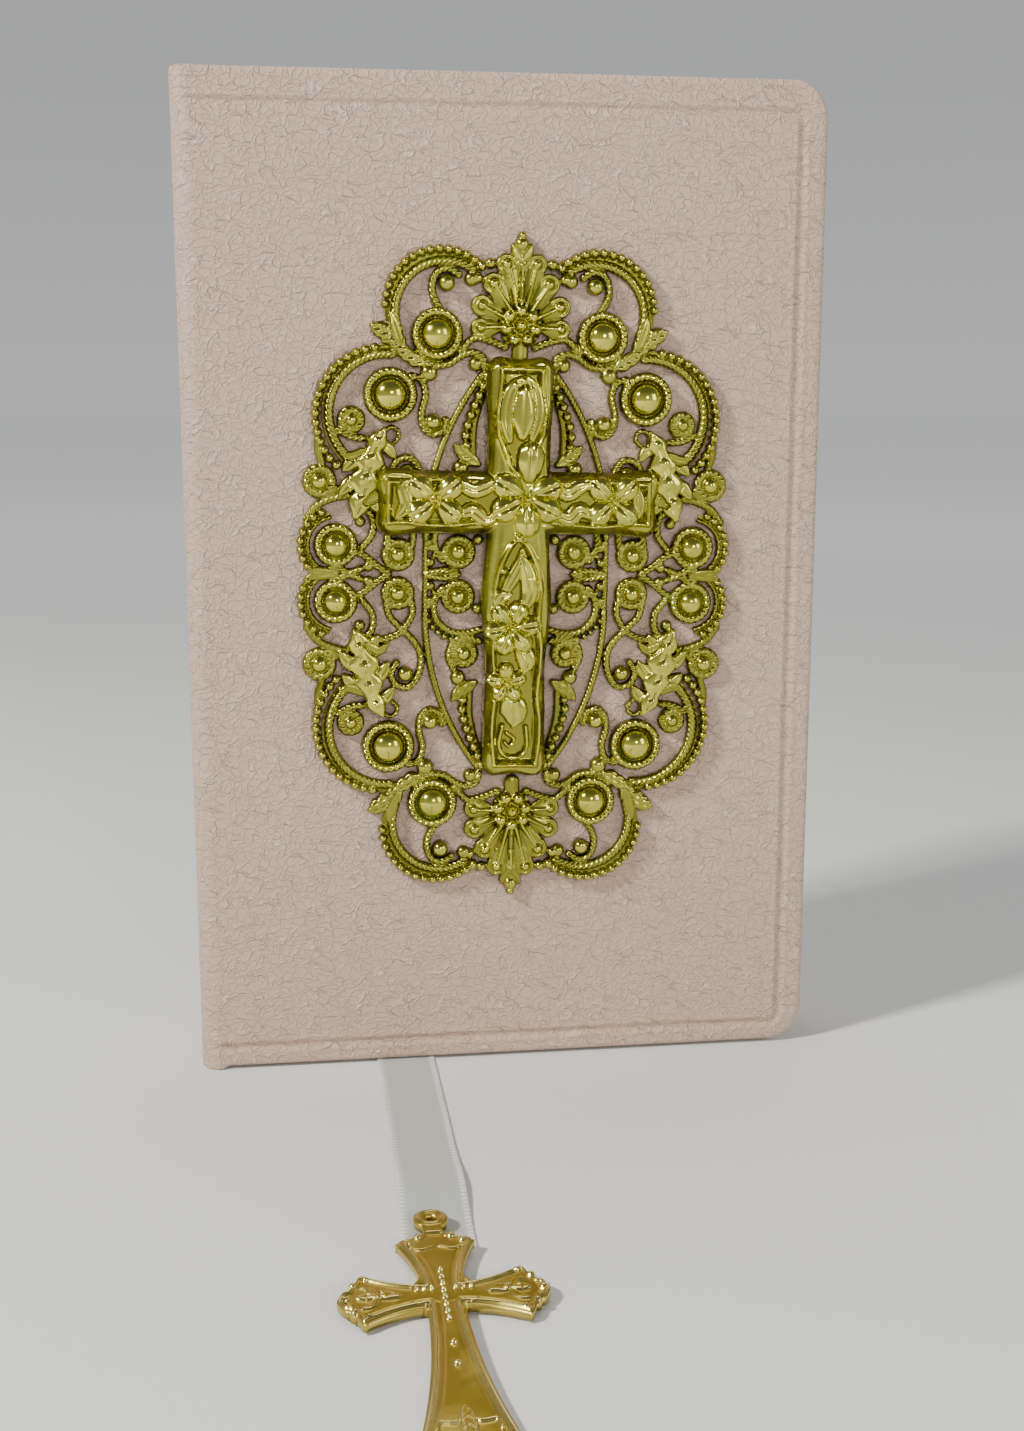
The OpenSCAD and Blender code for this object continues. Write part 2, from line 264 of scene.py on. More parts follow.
def leatherette():
    """Blush leatherette: a network of short raised veins over fine pores, with a painted highlight along the
    coarse veins.
    """
    s = Shader("leatherette")
    flat = s.stretch(s.uv(), (1, 1.25, 1))
    wander = s.math("SUBTRACT", s.noise(flat, 2.6, 2, output="Color"), (0.5, 0.5, 0.5), kind="VectorMath")
    drift = s.math("MULTIPLY", wander, (0.42, 0.42, 0.42), kind="VectorMath")
    bent = s.math("ADD", flat, drift, kind="VectorMath")

    def veins(scale, width):
        cells = s.node("TexVoronoi", {"feature": "DISTANCE_TO_EDGE"}, Vector=bent, Scale=scale)
        return s.range(cells.outputs["Distance"], 0.0, width, 1.0, 0.0)

    broken = s.range(s.noise(flat, 3.4, 3), 0.42, 0.6)
    coarse = s.times(veins(3.1, 0.075), broken)
    fine = s.times(veins(6.4, 0.13), 0.4)
    pores = s.times(s.noise(flat, 42, 4, 0.7), 0.3)
    swell = s.times(s.noise(flat, 1.1, 2), 1.1)
    height = s.plus(s.plus(coarse, fine), s.plus(pores, swell))
    tone = s.noise(flat, 0.22, 3)
    clean = s.mix(tone, rgb(191, 163, 142), rgb(199, 173, 152))
    worn = s.times(s.range(s.noise(flat, 0.9, 5, 0.7), 0.5, 0.75), 0.3)
    colour = s.mix(worn, clean, rgb(188, 168, 151))
    # Painted highlight: the coarse veins are lightened in colour, as if lit along their ridges.
    colour = s.mix(s.times(coarse, 0.36), colour, rgb(232, 210, 194))
    return s.finish(Base_Color=colour, Roughness=s.range(pores, 0.05, 0.25, 0.44, 0.56), Sheen_Weight=0.08,
                    Specular_IOR_Level=0.42, Normal=s.bump(height, 0.0003, 0.9))


def paper(name, colour, tint):
    """Smooth book paper: faint fibres and a little unevenness of tone."""
    s = Shader(name)
    place = s.place()
    fibre = s.noise(s.stretch(place, (1, 1, 3)), 900, 4, 0.65)
    tone = s.noise(place, 18, 3)
    return s.finish(Base_Color=s.mix(tone, colour, tint), Roughness=0.82, Specular_IOR_Level=0.25,
                    Normal=s.bump(fibre, 0.00003, 0.5))


def gilt_edge():
    """The gilded edge of a block of leaves: a fine line for each leaf."""
    s = Shader("gilt_edge")
    flat = s.uv()
    depth = s.plus(s.axis(flat, "Y"), s.times(s.noise(flat, 1.5, 2), 0.01))
    lines = s.wave(depth, 110)
    uneven = s.noise(s.stretch(flat, (3, 260, 1)), 1.0, 3, 0.6)
    thin = s.range(s.noise(s.stretch(flat, (2.2, 60, 1)), 1.0, 5, 0.7), 0.56, 0.72)
    return s.finish(Base_Color=s.mix(thin, rgb(214, 176, 98), rgb(226, 208, 168)), Roughness=0.38,
                    Metallic=s.range(thin, 0, 1, 0.85, 0.3),
                    Normal=s.bump(s.plus(s.times(lines, 0.35), uneven), 0.00003, 0.7))


def board():
    s = Shader("grey_board")
    place = s.place()
    colour = s.mix(s.noise(place, 240, 4, 0.7), rgb(150, 142, 128), rgb(120, 112, 98))
    fibre = s.noise(place, 900, 4, 0.7)
    return s.finish(Base_Color=colour, Roughness=0.9, Normal=s.bump(fibre, 0.00006, 0.6))


def gauze():
    """Open plain weave: two crossing sets of threads."""
    s = Shader("mull_gauze")
    place = s.place()
    weave = s.times(s.wave(s.axis(place, "Y"), 1 / GAUZE_PITCH), s.wave(s.axis(place, "Z"), 1 / GAUZE_PITCH))
    return s.finish(Base_Color=s.mix(s.range(weave, -1, 1), rgb(186, 178, 160), rgb(238, 234, 222)),
                    Roughness=0.85, Normal=s.bump(weave, GAUZE_PITCH * 0.3, 0.7))


def twisted_thread():
    s = Shader("linen_thread")
    place = s.place()
    twist = s.math("SINE", s.plus(s.times(s.axis(place, "Y"), 9000), s.times(s.axis(place, "Z"), 14000)))
    colour = s.mix(s.range(twist, -1, 1), rgb(206, 196, 172), rgb(236, 228, 208))
    return s.finish(Base_Color=colour, Roughness=0.7, Normal=s.bump(twist, 0.00004, 0.8))


def band_cloth():
    """A sewn end band: pink and cream threads wound round its core."""
    s = Shader("band_cloth")
    along = s.axis(s.uv(), "X")
    colour = s.mix(s.range(s.wave(along, 9), -0.15, 0.15), rgb(196, 140, 132), rgb(236, 226, 204))
    return s.finish(Base_Color=colour, Roughness=0.62, Sheen_Weight=0.3,
                    Normal=s.bump(s.wave(along, BAND_THREADS), 0.00008, 0.8))


def stamped_metal(name, bright, deep, tarnish, rough):
    """Thin stamped brass with a lacquer: bright on its high places and dull in its hollows, with painted
    shade darkening its colour in the hollows.
    """
    s = Shader(name)
    place = s.place()
    relief = s.node("Attribute", {"attribute_name": "relief"}).outputs["Fac"]
    high = s.range(relief, 0.1, 0.75)
    patches = s.range(s.noise(place, 130, 4, 0.65), 0.45, 0.68)
    # Painted shade: the colour darkens from bright to deep towards the hollows of the relief.
    colour = s.mix(high, deep, bright)
    colour = s.mix(s.times(patches, 0.45), colour, tarnish)
    grain = s.noise(place, 2600, 3, 0.6)
    dents = s.noise(place, 480, 3, 0.6)
    normal = s.bump(dents, 0.00006, 0.5, s.bump(grain, 0.000012, 0.5))
    dull = s.math("MULTIPLY_ADD", patches, 0.14, s.range(high, 0, 1, rough + 0.16, rough))
    return s.finish(Base_Color=colour, Metallic=1.0, Roughness=dull, Normal=normal,
                    Coat_Weight=0.25, Coat_Roughness=0.06)


def glue():
    s = Shader("clear_glue")
    place = s.place()
    colour = s.mix(s.noise(place, 600, 2), rgb(226, 220, 196), rgb(206, 198, 170))
    return s.finish(Base_Color=colour, Roughness=0.3, Transmission_Weight=0.35,
                    Normal=s.bump(s.noise(place, 1500, 3), 0.00008, 0.6))


def satin():
    """Satin ribbon: long floats across its width, with dense bright edges."""
    s = Shader("satin_ribbon")
    flat = s.uv()
    along = s.axis(flat, "Y")
    edge = s.range(s.math("ABSOLUTE", s.axis(flat, "X")), 0.36, 0.42)
    floats = s.noise(s.stretch(flat, (5, 190, 1)), 1.0, 3, 0.6)
    loops = s.times(s.wave(along, 10), edge)
    height = s.plus(s.plus(s.times(s.wave(along, 52), 0.25), floats), s.times(loops, 1.4))
    body = s.mix(floats, rgb(178, 182, 176), rgb(198, 200, 193))
    stitched = s.times(edge, s.math("MULTIPLY_ADD", loops, 0.45, 0.5))
    return s.finish(Base_Color=s.mix(stitched, body, rgb(250, 250, 244)), Roughness=0.42, Sheen_Weight=0.35,
                    Sheen_Roughness=0.3, Anisotropic=0.5, Specular_IOR_Level=0.55, Subsurface_Weight=0.12,
                    Subsurface_Scale=0.0008, Normal=s.bump(height, 0.00004, 0.7))


def floor_paint():
    """A pale matt floor that glows a little far from the book, so that it fades into the backdrop."""
    s = Shader("pale_floor")
    place = s.place()
    away = s.node("VectorMath", {"operation": "LENGTH"}, Vector=place).outputs["Value"]
    colour = s.mix(s.noise(place, 3, 3), rgb(226, 226, 224), rgb(232, 232, 230))
    return s.finish(Base_Color=colour, Roughness=0.9, Specular_IOR_Level=0.0,
                    Normal=s.bump(s.noise(place, 260, 3), 0.0001, 0.2), Emission_Color=rgb(236, 237, 237),
                    Emission_Strength=s.range(away, 0.3, 1.3, 0.0, FLOOR_GLOW))


LOOKS = {
    "leatherette": leatherette(),
    "board": board(),
    "endpaper": paper("endpaper", rgb(238, 232, 216), rgb(228, 221, 203)),
    "leaf_paper": paper("leaf_paper", rgb(243, 238, 224), rgb(234, 227, 209)),
    "gilt_edge": gilt_edge(),
    "kraft": paper("kraft_liner", rgb(184, 156, 118), rgb(166, 138, 102)),
    "gauze": gauze(),
    "thread": twisted_thread(),
    "band_cloth": band_cloth(),
    # For each metal the second colour is painted shade, used in the hollows of the relief.
    "stamped_brass": stamped_metal(
        "stamped_brass", rgb(212, 205, 84), rgb(119, 113, 28), rgb(138, 148, 62), 0.11),
    "charm_gilt": stamped_metal(
        "charm_gilt", rgb(244, 224, 134), rgb(194, 170, 78), rgb(222, 202, 110), 0.14),
    "glue": glue(),
    "satin_ribbon": satin(),
}


def finish_piece(piece, slot, *nodes, looks=None):
    """Gives a piece its materials, by default the one of its slot, and hides the CAD nodes it stands for."""
    for look in looks or [slot]:
        piece.data.materials.append(LOOKS[look])
    if nodes:
        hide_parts(*nodes)
    return piece


def dress_cad_nodes():
    """Every CAD node gets the material of its slot."""
    for part in frame["record"]["subparts"]:
        mesh = frame["nodes"][part["node"]].data
        mesh.materials.clear()
        mesh.materials.append(LOOKS[part["material_slot"]])


# ---- camera, floor, lights

def make_camera():
    lens = bpy.data.cameras.new("camera")
    lens.lens = 43.17
    lens.sensor_width = 36
    lens.clip_start = 0.01
    camera = bpy.data.objects.new("camera", lens)
    camera.location = (-0.0372, -0.2810, 0.1111)
    camera.rotation_euler = (math.radians(79.406), 0, math.radians(-7.836))
    bpy.context.scene.collection.objects.link(camera)
    bpy.context.scene.camera = camera


def make_floor():
    reach = 9000
    corners = [(-reach, -reach, 0), (reach, -reach, 0), (reach, reach, 0), (-reach, reach, 0)]
    floor = make_object("floor", corners, [(0, 1, 2, 3)], smooth=False, closed=False)
    floor.data.materials.append(floor_paint())


def make_light(name, place, size, power, tint):
    lamp = bpy.data.lights.new(name, "AREA")
    lamp.shape = "RECTANGLE"
    lamp.size, lamp.size_y = size
    lamp.energy = power
    lamp.color = tint
    light = bpy.data.objects.new(name, lamp)
    light.location = place
    aim = Vector((0, 0, 0.08)) - Vector(place)
    light.rotation_euler = aim.to_track_quat("-Z", "Y").to_euler()
    bpy.context.scene.collection.objects.link(light)


def make_lights():
    make_light("key", (-0.66, -0.34, 0.62), (0.1, 0.1), 10.4, (1, 0.98, 0.95))
    make_light("front", (0.12, -0.8, 0.3), (0.08, 0.08), 1.6, (1, 0.98, 0.94))
    make_light("fill", (0.62, -0.5, 0.3), (0.3, 0.4), 1.4, (0.97, 0.98, 1))
    make_light("top", (0.05, 0.3, 0.9), (0.6, 0.4), 2.5, (1, 1, 1))
    world = bpy.data.worlds.new("studio")
    world.use_nodes = True
    tree = world.node_tree
    parts = tree.nodes.new("ShaderNodeSeparateXYZ")
    ramp = tree.nodes.new("ShaderNodeValToRGB")
    ramp.color_ramp.elements[0].color = (0.84, 0.85, 0.85, 1)
    ramp.color_ramp.elements[1].color = (0.22, 0.23, 0.24, 1)
    ramp.color_ramp.elements[1].position = 0.75
    tree.links.new(tree.nodes.new("ShaderNodeTexCoord").outputs["Generated"], parts.inputs[0])
    tree.links.new(parts.outputs["Z"], ramp.inputs["Fac"])
    tree.links.new(ramp.outputs["Color"], tree.nodes["Background"].inputs["Color"])
    tree.nodes["Background"].inputs["Strength"].default_value = 0.62
    bpy.context.scene.world = world


# ---- ribbon marker

RIBBON_W = 9.5
LOOP_PITCH = 0.95
RIBBON_X = -17.5
RIBBON_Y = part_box("ribbon_inside")[0][1] / MM + 0.1
LYING_Z = 0.22  # height of the ribbon's middle where it lies on the surface
RIBBON_ROUTE = [(RIBBON_X, RIBBON_Y - forward, z) for forward, z in (
    (0, 3), (0.3, 1.7), (1.1, 0.75), (2.3, 0.3), (4, LYING_Z), (7, LYING_Z))]
RIBBON_ROUTE += [(RIBBON_X, y, LYING_Z) for y in (-8, -12, -18, -25, -32, -38)]
RIBBON_ROUTE += [
    (RIBBON_X, -42, 0.25), (RIBBON_X, -46, 0.4), (RIBBON_X, -50, 0.7), (RIBBON_X, -54, 0.85),
    (-17.6, -58, 0.7), (-17.7, -62, 0.4), (-17.8, -66, LYING_Z), (-17.9, -71.8, LYING_Z),
]


def ribbon_strip(name, centres):
    """A woven ribbon along centres: a thin closed strip with a row of loops along each edge."""
    lengths = run_along(centres)[:, None]
    forward = np.gradient(centres, axis=0)
    forward /= np.linalg.norm(forward, axis=1)[:, None]
    side = np.array([1.0, 0, 0])
    up = np.cross(side, -forward)
    up *= np.sign(up[:, 2:3] + 1e-9)
    border = np.linspace(0.86, 1, 6)
    across = np.concatenate([-border[::-1], np.linspace(-0.8, 0.8, 17), border])
    edge = np.abs(across) > 0.85
    loop = 0.5 + 0.5 * np.cos(2 * math.pi * lengths / LOOP_PITCH)
    half_t = 0.06 + edge * dome((np.abs(across) - 0.93) / 0.075) * (0.05 + 0.07 * loop)
    reach = RIBBON_W / 2 * across * (1 + 0.02 * loop * edge)
    middle = centres[:, None] + side * reach[..., None]
    points = [middle + up[:, None] * (face * half_t)[..., None] for face in (1, -1)]
    uv = rows_of(RIBBON_W / 2 * across, lengths) / 10

    # Its upper and lower faces, then its two sides, row by row, and last its two ends.
    top, under = np.arange(2 * reach.size).reshape(2, *reach.shape)
    broad = np.stack([rows_of(top[:-1, :-1], top[:-1, 1:], top[1:, 1:], top[1:, :-1]),
                      rows_of(under[:-1, :-1], under[1:, :-1], under[1:, 1:], under[:-1, 1:])], 2)
    last = [0, -1]
    sides = rows_of(top[:-1, last], top[1:, last], under[1:, last], under[:-1, last])
    ends = rows_of(top[last, :-1], top[last, 1:], under[last, 1:], under[last, :-1])
    faces = np.concatenate([broad.reshape(len(sides), -1, 4), sides], 1).reshape(-1, 4).tolist()
    faces += ends.reshape(-1, 4).tolist()
    return make_object(name, np.reshape(points, (-1, 3)), faces, np.tile(uv.reshape(-1, 2), (2, 1)))


# ---- stamped reliefs

ROPE_TURN = 0.9  # length of one turn of a boss's rope ring


def arc_points(centre, radius, start, end, count):
    angles = np.radians(np.linspace(start, end, count))
    return rows_of(centre[0] + radius * np.cos(angles), centre[1] + radius * np.sin(angles))


class Stamp:
    """A stamped sheet as a height over a flat grid, in mm. It is metal where field is over 0."""

    def __init__(self, low, high, step, edge):
        self.x = np.arange(low[0], high[0] + step / 2, step)
        self.z = np.arange(low[1], high[1] + step / 2, step)
        self.X, self.Z = np.meshgrid(self.x, self.z)
        self.edge = self.floor = edge
        self.field = np.full(self.X.shape, -9.0)
        self.height = np.full(self.X.shape, edge)

    def add(self, inside, height, over=False):
        """Adds a shape: inside is the distance in from its outline. over lays it on what is there."""
        self.field = np.maximum(self.field, inside)
        top = height if over else np.maximum(self.height, height)
        self.height = np.where(inside > 0, top, self.height)

    def rise(self, height, share):
        return self.floor + (height - self.floor) * share

    def along(self, points):
        """Distance from a line, distance along it and signed offset to its side, and its length."""
        best = np.full(self.X.shape, 1e9)
        run, offset = np.zeros(self.X.shape), np.zeros(self.X.shape)
        starts = run_along(points)
        for a, b, start in zip(points[:-1], points[1:], starts):
            length = math.dist(a, b)
            u = (b - a) / length
            px, pz = self.X - a[0], self.Z - a[1]
            t = np.clip(px * u[0] + pz * u[1], 0, length)
            distance = np.hypot(px - t * u[0], pz - t * u[1])
            nearer = distance < best
            best = np.where(nearer, distance, best)
            run = np.where(nearer, start + t, run)
            offset = np.where(nearer, px * -u[1] + pz * u[0], offset)
        return best, run, offset, starts[-1]

    def wire(self, line, width, height, pitch=0.0, taper=0.0):
        """A raised wire along a line. A pitch twists it like a rope, and taper thins its end."""
        distance, run, offset, length = self.along(line)
        half = width / 2 * (1 - taper * run / length)
        twist = 0.8 + 0.2 * np.cos(2 * math.pi * (run + offset) / pitch) if pitch else 1.0
        self.add(half - distance, self.rise(height, dome(distance / half) * twist))

    def strand(self, points, *shape, **more):
        """A wire along the curve through points."""
        self.wire(curve_through(points, 0.5), *shape, **more)

    def arc(self, centre, radius, start, end, *shape):
        """A wire along an arc, from one angle to another."""
        count = max(6, int(abs(end - start) * radius / 60))
        self.wire(arc_points(centre, radius, start, end, count), *shape)

    def bead(self, x, z, radius, height):
        distance = np.hypot(self.X - x, self.Z - z)
        self.add(radius - distance, self.rise(height, dome(distance / radius)))

    def beads(self, spots, height):
        """Beads of one height. Each spot is x, z and radius."""
        for x, z, radius in spots:
            self.bead(x, z, radius, height)

    def bead_row(self, points, spacing, radius, height, last_radius=None):
        """A row of beads along a line. They grow or shrink to last_radius."""
        line = curve_through(points, 0.25)
        run = run_along(line)
        count = max(2, int(round(run[-1] / spacing)))
        for share in np.arange(count + 1) / count:
            x, z = (np.interp(run[-1] * share, run, line[:, k]) for k in (0, 1))
            size = radius + ((last_radius or radius) - radius) * share
            self.bead(x, z, size, height * size / radius)

    def bead_arc(self, centre, radius, start, end, *row):
        self.bead_row(arc_points(centre, radius, start, end, 16), *row)

    def boss(self, x, z, ring, size, height):
        """A round boss: a rope ring, a sunk floor inside it and a dome in the middle."""
        distance = np.hypot(self.X - x, self.Z - z)
        if ring:
            half_w = 0.75
            teeth = max(8, round(2 * math.pi * ring / ROPE_TURN))
            angle = np.arctan2(self.Z - z, self.X - x)
            rope = 0.86 + 0.14 * np.cos(teeth * angle + 3 * (distance - ring))
            profile = dome((distance - ring) / half_w)
            ring_top = self.edge + (height * 0.7 - self.edge) * profile * rope
            self.add(half_w - np.abs(distance - ring), ring_top)
            self.add(ring - distance, self.edge + 0.35 * hump(distance, (size + ring) / 2, 0.22))
        self.add(size - distance, self.edge + 0.1 + (height - self.edge) * dome(distance / size))

    def leaf(self, points, width, height, lobes=0, cut=0.3, veins=False):
        """A leaf along points, with a midrib, ragged lobes and side veins."""
        distance, run, offset, length = self.along(curve_through(points, 0.5))
        share = np.clip(run / length, 0, 1)
        half = width / 2 * np.sin(math.pi * (0.08 + 0.9 * share)) ** 0.6
        if lobes:
            half = half * (1 - cut * (1 - np.abs(np.sin(math.pi * lobes * share))))
        half = np.maximum(half, 0.05)
        body = 0.4 + 0.6 * dome(np.clip(distance / half, 0, 1)) - 0.16 * hump(offset, 0, 0.3)
        if veins:
            body += 0.07 * np.cos(2 * math.pi * (run - 1.2 * np.abs(offset)) / 1.5)
        self.add(half - distance, self.rise(height, body), over=True)

    def petal(self, x, z, angle, length, width, height):
        """One petal from its flower's centre outwards, creased along the middle."""
        a = math.radians(angle)
        u = (self.X - x) * math.cos(a) + (self.Z - z) * math.sin(a)
        v = -(self.X - x) * math.sin(a) + (self.Z - z) * math.cos(a)
        share = np.clip(u / length, 0, 1)
        reach = np.hypot((u - length * 0.56) / (length * 0.5), v / (width / 2 * (0.78 + 0.3 * share)))
        crease = 1 - 0.12 * hump(v, 0, 0.3) - 0.04 * np.cos(v * 2 * math.pi / (width / 3.2))
        body = (0.3 + 0.7 * dome(reach)) * crease * (0.72 + 0.28 * share)
        self.add((1 - reach) * width / 2, self.rise(height, body), over=True)

    def four_ways(self):
        """Copies the first quarter into the other three."""
        def mirrored(grid):
            grid = np.concatenate([grid[:, :0:-1], grid], axis=1)
            return np.concatenate([grid[:0:-1], grid], axis=0)
        self.field, self.height = mirrored(self.field), mirrored(self.height)
        self.x, self.z = (np.concatenate([-line[:0:-1], line]) for line in (self.x, self.z))

    def mesh(self, name, place):
        """The closed mesh of the metal. place turns (x, z, height) rows into points in mm."""
        field = np.pad(self.field, 1, constant_values=-9.0) + 1e-7
        height = np.pad(self.height, 1, mode="edge")
        step = self.x[1] - self.x[0]
        xs, zs = (np.concatenate([[line[0] - step], line, [line[-1] + step]]) for line in (self.x, self.z))
        rows, columns = field.shape
        solid = field > 0
        j, i = np.nonzero(solid)
        points = [rows_of(xs[i], zs[j], height[j, i])]
        at_corner, across, upward = (np.full(field.shape, -1) for _ in range(3))
        at_corner[solid] = np.arange(len(j))

        def cut_lines(cuts, dx, dz):
            """Adds a point wherever the outline cuts a grid line that runs along dx or dz."""
            j, i = np.nonzero(solid[:rows - dz, :columns - dx] != solid[dz:, dx:])
            start, end = field[j, i], field[j + dz, i + dx]
            t = np.clip(start / (start - end), 0.04, 0.96)
            inner = np.where(solid[j, i], height[j, i], height[j + dz, i + dx])
            cuts[j, i] = sum(map(len, points)) + np.arange(len(j))
            low_edge = np.minimum(inner, self.edge * 1.3)
            points.append(rows_of(xs[i] + t * dx * step, zs[j] + t * dz * step, low_edge))

        cut_lines(across, 1, 0)
        cut_lines(upward, 0, 1)
        top = np.vstack(points)
        corners = [solid[dz:rows - 1 + dz, dx:columns - 1 + dx] for dz in (0, 1) for dx in (0, 1)]
        filled = np.sum(corners, axis=0)
        j, i = np.nonzero(filled == 4)
        faces = rows_of(at_corner[j, i], at_corner[j, i + 1],
                        at_corner[j + 1, i + 1], at_corner[j + 1, i]).tolist()
        walls = []
        for j, i in zip(*np.nonzero((filled > 0) & (filled < 4))):
            around = [at_corner[j, i], across[j, i], at_corner[j, i + 1], upward[j, i + 1],
                      at_corner[j + 1, i + 1], across[j + 1, i], at_corner[j + 1, i], upward[j, i]]
            ring = [(int(index), k % 2) for k, index in enumerate(around) if index >= 0]
            faces.append([index for index, _ in ring])
            walls += [(b, a) for (a, a_cut), (b, b_cut) in zip(ring, ring[1:] + ring[:1]) if a_cut and b_cut]
        total = len(top)
        bottom = [[index + total for index in reversed(face)] for face in faces]
        sides = [[a, b, b + total, a + total] for a, b in walls]
        relief = np.clip((top[:, 2] - self.edge) / (self.height.max() - self.edge), 0, 1)
        piece = make_object(name, place(np.vstack([top, top * (1, 1, 0)])), faces + bottom + sides)
        share = piece.data.attributes.new("relief", "FLOAT", "POINT")
        share.data.foreach_set("value", np.concatenate([relief, relief * 0]).astype(np.float32))
        return piece


def on_front_cover(lift):
    """Puts a relief on the front cover, centred on the ornament, with its back lift above the cover."""
    tilt = math.radians(ORNAMENT_TILT)

    def place(rows):
        x, z, h = rows.T
        return rows_of(ORNAMENT_X + x * math.cos(tilt) + z * math.sin(tilt), FRONT_Y - lift - h,
                       ORNAMENT_Z - x * math.sin(tilt) + z * math.cos(tilt))
    return place


# The bosses of one quarter of the filigree: x, z, radius of the rope ring, radius of the dome.
BOSSES = [
    (29, 4.5, 2.8, 2), (31.6, 14.6, 2, 1.4), (26.6, 24.2, 1.5, 1.1), (20.5, 28.2, 3.6, 2.6),
    (13.2, 37.7, 3.4, 2.5), (19.1, 3.1, 2, 1.35), (9.4, 3.6, 2.1, 1.4), (8.3, 12.9, 1.7, 1.25),
    (17.8, 16.2, 0, 1.3), (13.7, 24.1, 0, 1.35), (11.8, 45.5, 0, 1.35),
]
# Plain beads of one quarter: x, z, radius.
BEADS = [
    (9.2, 16.9, 1.3), (7, 33.2, 1.15), (14.4, 31.7, 1.4), (7.9, 46.2, 1.15), (16.6, 33.6, 1.2),
    (13.9, 1.9, 0.8), (13.9, 4.4, 0.8), (18.6, 34.7, 0.9), (23.8, 1.2, 0.9), (6.2, 5.6, 0.9),
    (25.2, 8.3, 0.9),
]
# The scrolls of one quarter, each from its root to its curled end.
SCROLLS = [
    [(17.2, 31.2), (15.6, 30.6), (14.9, 28.3), (15.5, 25.6), (15.2, 23.2), (13.7, 22.1), (12.1, 22.9),
     (11.7, 24.5)],
    [(16.4, 34.6), (14.1, 33), (11.4, 33.1), (9.4, 34.4), (7.6, 35), (5.9, 34.2), (5.6, 32.6)],
    [(12.8, 41.6), (13.9, 43.6), (14, 45.5), (13.2, 47.2), (11.5, 47.7), (9.9, 46.8)],
    [(21, 4.4), (20.4, 6.8), (18.3, 9), (16.2, 11.2), (15.3, 13.6), (15.7, 16.4), (17.2, 18.4),
     (19.2, 18), (20.1, 16.2), (19.2, 14.4)],
    [(16.9, 4.4), (16.8, 6.6), (18.4, 9.2), (20.6, 10.4), (22.4, 10.6)],
    [(12, 2.2), (13.2, 4.6), (12.9, 7.2), (10.8, 9.2), (8, 9.6), (5.6, 9)],
    [(5.8, 10.9), (8, 10.3), (10.1, 11.2), (10.8, 13.4), (9.9, 15.6)],
    [(24.8, 4.2), (23.2, 6.4), (23.2, 8.8), (24.4, 10.6)],
    [(24.7, 21.4), (26.6, 21.6), (28.6, 22.6)],
    [(9.5, 35.2), (7.4, 37.2), (5, 36.9), (2.4, 35.9)],
    [(20.6, 0), (22.6, 1.4), (24.6, 3), (26.2, 3.6)],
    [(25, 0.8), (27, 0.2), (29, 1.2)],
    [(9.4, 0), (11.6, 0.6), (14.6, 0.2)],
]


def palmette(stamp):
    """The fan over the head of the ornament: a rosette, ball-ended lobes, flutes and a finial."""
    heart_z = 39.2
    stem = 2.6
    lobes = [(0, 49.2, 1.25), (2.4, 48.6, 1.3), (4.4, 45.6, 1.4), (6.2, 42.2, 1.35), (6.4, 38.8, 1.2)]
    for x, z, size in lobes:
        a = math.atan2(z - heart_z, x)
        root = (stem * math.cos(a), heart_z + stem * math.sin(a))
        stamp.petal(*root, math.degrees(a), math.dist(root, (x, z)) + size, 3.3, 1.25)
        distance = np.hypot(stamp.X - x, stamp.Z - z)
        stamp.add(size + 0.4 - distance, stamp.edge + 0.75 * dome((distance - size) / 0.4))
        stamp.strand([root, (x, z)], 0.75, 1.6)
        stamp.bead(x, z, size * 0.72, 1.85)
    for x, z in arc_points((0, heart_z), 2.35, 90, 450, 8)[:7]:
        stamp.bead(x, z, 1.12, 2.1)
    stamp.bead(0, heart_z, 3.4, 0.9)
    stamp.bead(0, heart_z, 1.05, 2.5)
    stamp.beads([(0, 51.7, 1.2), (0, 53, 0.7), (4.9, 48.7, 0.9), (6.4, 48.5, 0.8), (6.9, 46.4, 0.9)], 1.5)
    stamp.leaf([(0, 49), (1.2, 50.6), (1.5, 51.8)], 1.3, 1.1)
    stamp.strand([(0, 34.4), (0, 36.4)], 2.6, 1)


